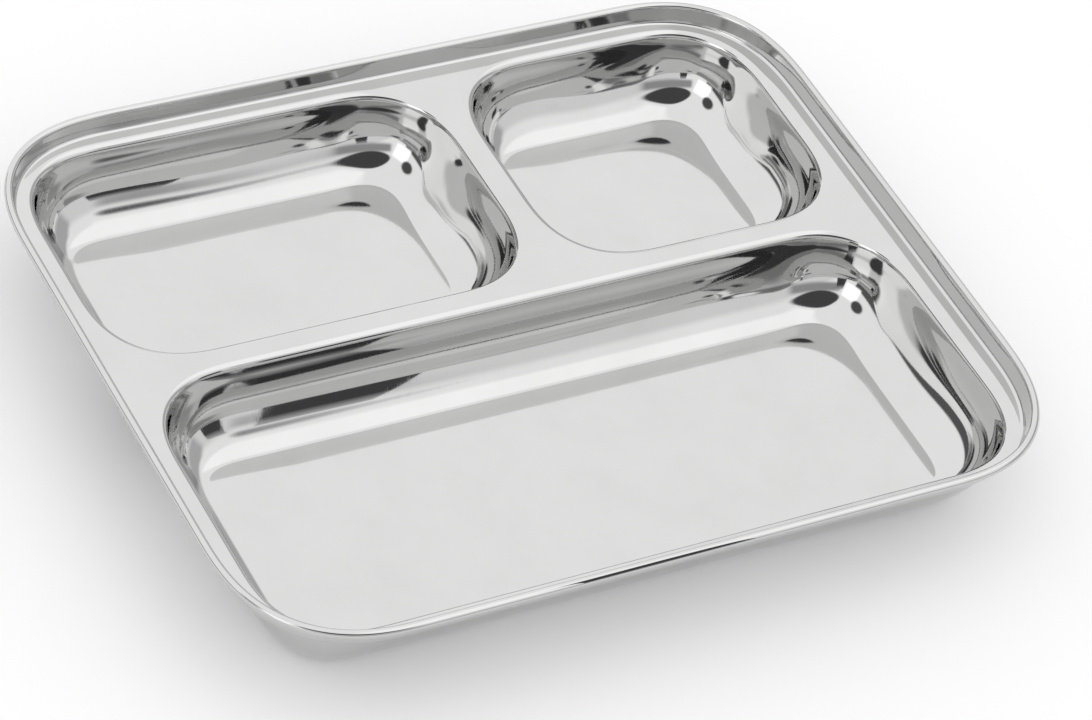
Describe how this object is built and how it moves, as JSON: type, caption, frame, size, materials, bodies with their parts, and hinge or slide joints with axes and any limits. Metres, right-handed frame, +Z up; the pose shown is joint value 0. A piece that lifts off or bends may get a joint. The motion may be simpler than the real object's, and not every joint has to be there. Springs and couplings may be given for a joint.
{
  "type": "divided compartment plate",
  "caption": "Rectangular steel plate with one long compartment in front of a wide and a narrow one, inside a raised border with a rolled edge.",
  "frame": {"origin": "under the middle of the plate, on the surface that it stands on", "axes": "+X to the right along the front compartment, +Y from the front to the back, +Z up"},
  "size_m": [0.26, 0.21, 0.031],
  "materials": {
    "polished_steel": "mirror-polished stainless steel sheet with fine hairline scratches"
  },
  "bodies": {
    "root": {"land": "polished_steel", "border": "polished_steel", "rolled_edge": "polished_steel", "front_well": "polished_steel", "rear_left_well": "polished_steel", "rear_right_well": "polished_steel"}
  },
  "joints": []
}
